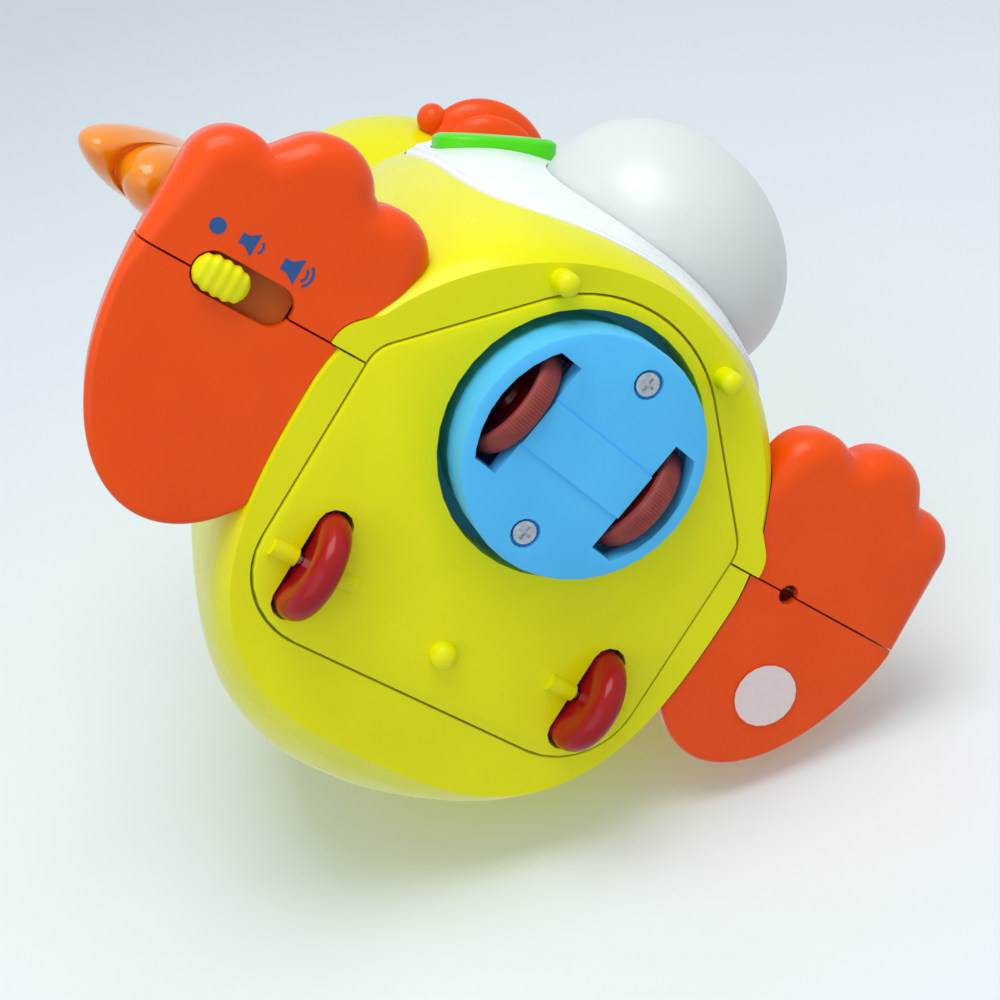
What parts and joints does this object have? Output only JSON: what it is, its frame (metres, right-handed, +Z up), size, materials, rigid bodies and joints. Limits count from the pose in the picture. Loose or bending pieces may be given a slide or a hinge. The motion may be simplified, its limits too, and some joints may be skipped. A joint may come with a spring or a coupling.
{
  "type": "musical duck toy",
  "caption": "Duck-shaped musical toy that drives itself: turning bump-and-go drive wheel unit, rear wheels, light globe, push button, volume slider, flapping wings and turning head",
  "frame": {"origin": "on the floor under the middle of the toy's outer size", "axes": "+X is the duck's left, -Y is the way it faces, +Z is up"},
  "size_m": [0.2068, 0.1615, 0.2158],
  "materials": {
    "yellow_plastic": "glossy moulded yellow",
    "orange_plastic": "glossy moulded orange-red",
    "blue_plastic": "satin moulded light blue",
    "white_plastic": "glossy moulded white",
    "green_plastic": "glossy moulded green",
    "red_plastic": "glossy moulded red",
    "maroon_plastic": "matt brown-red",
    "black_plastic": "glossy black",
    "milky_globe": "milky, lets light through",
    "clear_orange": "see-through orange",
    "steel": "bright steel",
    "board": "green circuit board",
    "label_paper": "bare paper label",
    "battery_skin": "printed battery sleeve, bare",
    "led_clear": "clear lamp"
  },
  "bodies": {
    "body": {"front_body_shell": "yellow_plastic", "rear_body_shell": "yellow_plastic", "base_plate": "yellow_plastic", "battery_cover": "yellow_plastic", "right_foot_front": "orange_plastic", "right_foot_rear": "orange_plastic", "left_foot_front": "orange_plastic", "left_foot_rear": "orange_plastic", "rear_wheel_cover_right": "white_plastic", "rear_wheel_cover_left": "white_plastic", "drive_retainer": "white_plastic", "chest_panel": "white_plastic", "wing_gearbox": "white_plastic", "battery_box": "white_plastic", "slide_switch": "black_plastic", "speaker": "black_plastic", "light_globe": "milky_globe", "shell_screw_right": "steel", "shell_screw_left": "steel", "rear_axle_right": "steel", "rear_axle_left": "steel", "battery_cover_screw": "steel", "battery_contact_1": "steel", "battery_contact_2": "steel", "battery_contact_3": "steel", "battery_contact_4": "steel", "circuit_board": "board", "button_switch": "board", "lamp_board": "board", "foot_label": "label_paper", "battery_1": "battery_skin", "battery_2": "battery_skin", "battery_3": "battery_skin", "lamp_1": "led_clear", "lamp_2": "led_clear", "lamp_3": "led_clear"},
    "drive_unit": {"drive_cap": "blue_plastic", "drive_housing": "blue_plastic", "drive_screw_front": "steel", "drive_screw_rear": "steel", "drive_motor": "steel"},
    "drive_wheels": {"drive_axle": "steel", "axle_gear": "white_plastic", "drive_wheel_right": "maroon_plastic", "drive_wheel_left": "maroon_plastic"},
    "pinion": {"motor_pinion": "white_plastic"},
    "right_rear_wheel": {"rear_wheel_right": "red_plastic"},
    "left_rear_wheel": {"rear_wheel_left": "red_plastic"},
    "slider": {"volume_slider": "yellow_plastic"},
    "button": {"music_button": "green_plastic"},
    "right_wing": {"wing_right": "clear_orange"},
    "left_wing": {"wing_left": "clear_orange"},
    "head": {"head_front_shell": "yellow_plastic", "head_rear_shell": "yellow_plastic", "eye_right": "black_plastic", "eye_left": "black_plastic", "bill_upper": "orange_plastic", "bill_lower": "orange_plastic", "head_shaft": "white_plastic"}
  },
  "joints": [
    {"name": "drive_unit_turn", "type": "hinge", "parent": "body", "child": "drive_unit", "pos_m": [0, -0.01405, 0.0114], "axis": [0, 0, 1], "continuous": true},
    {"name": "drive_wheels_roll", "type": "hinge", "parent": "drive_unit", "child": "drive_wheels", "pos_m": [0, -0.01405, 0.012], "axis": [0.9895, 0.1444, 0], "continuous": true},
    {"name": "motor_pinion_spin", "type": "hinge", "parent": "drive_unit", "child": "pinion", "pos_m": [0.00112, -0.0217, 0.0166], "axis": [0.9895, 0.1444, 0], "continuous": true},
    {"name": "right_rear_wheel_roll", "type": "hinge", "parent": "body", "child": "right_rear_wheel", "pos_m": [-0.0333, 0.03045, 0.0114], "axis": [1, 0, 0], "continuous": true},
    {"name": "left_rear_wheel_roll", "type": "hinge", "parent": "body", "child": "left_rear_wheel", "pos_m": [0.0333, 0.03045, 0.0114], "axis": [1, 0, 0], "continuous": true},
    {"name": "volume_slide", "type": "slide", "parent": "body", "child": "slider", "axis": [1, 0, 0], "range_m": [0, 0.0088]},
    {"name": "music_button_press", "type": "slide", "parent": "body", "child": "button", "axis": [0.4537, 0.8905, 0.0349], "range_m": [0, 0.0016], "stiffness_N_per_m": 500, "springref_m": -0.001},
    {"name": "right_wing_flap", "type": "hinge", "parent": "body", "child": "right_wing", "pos_m": [-0.0415, -0.00865, 0.1074], "axis": [0, 1, 0], "range_deg": [-12, 12]},
    {"name": "left_wing_flap", "type": "hinge", "parent": "body", "child": "left_wing", "pos_m": [0.0415, -0.00865, 0.1074], "axis": [0, 1, 0], "range_deg": [-12, 12]},
    {"name": "head_turn", "type": "hinge", "parent": "body", "child": "head", "pos_m": [0, -0.01405, 0.1764], "axis": [0, 0, 1], "range_deg": [-33, 17]}
  ],
  "couplings": [
    {"joint": "left_wing_flap", "follows": "right_wing_flap", "ratio": -1},
    {"joint": "motor_pinion_spin", "follows": "drive_wheels_roll", "ratio": -1.75}
  ]
}
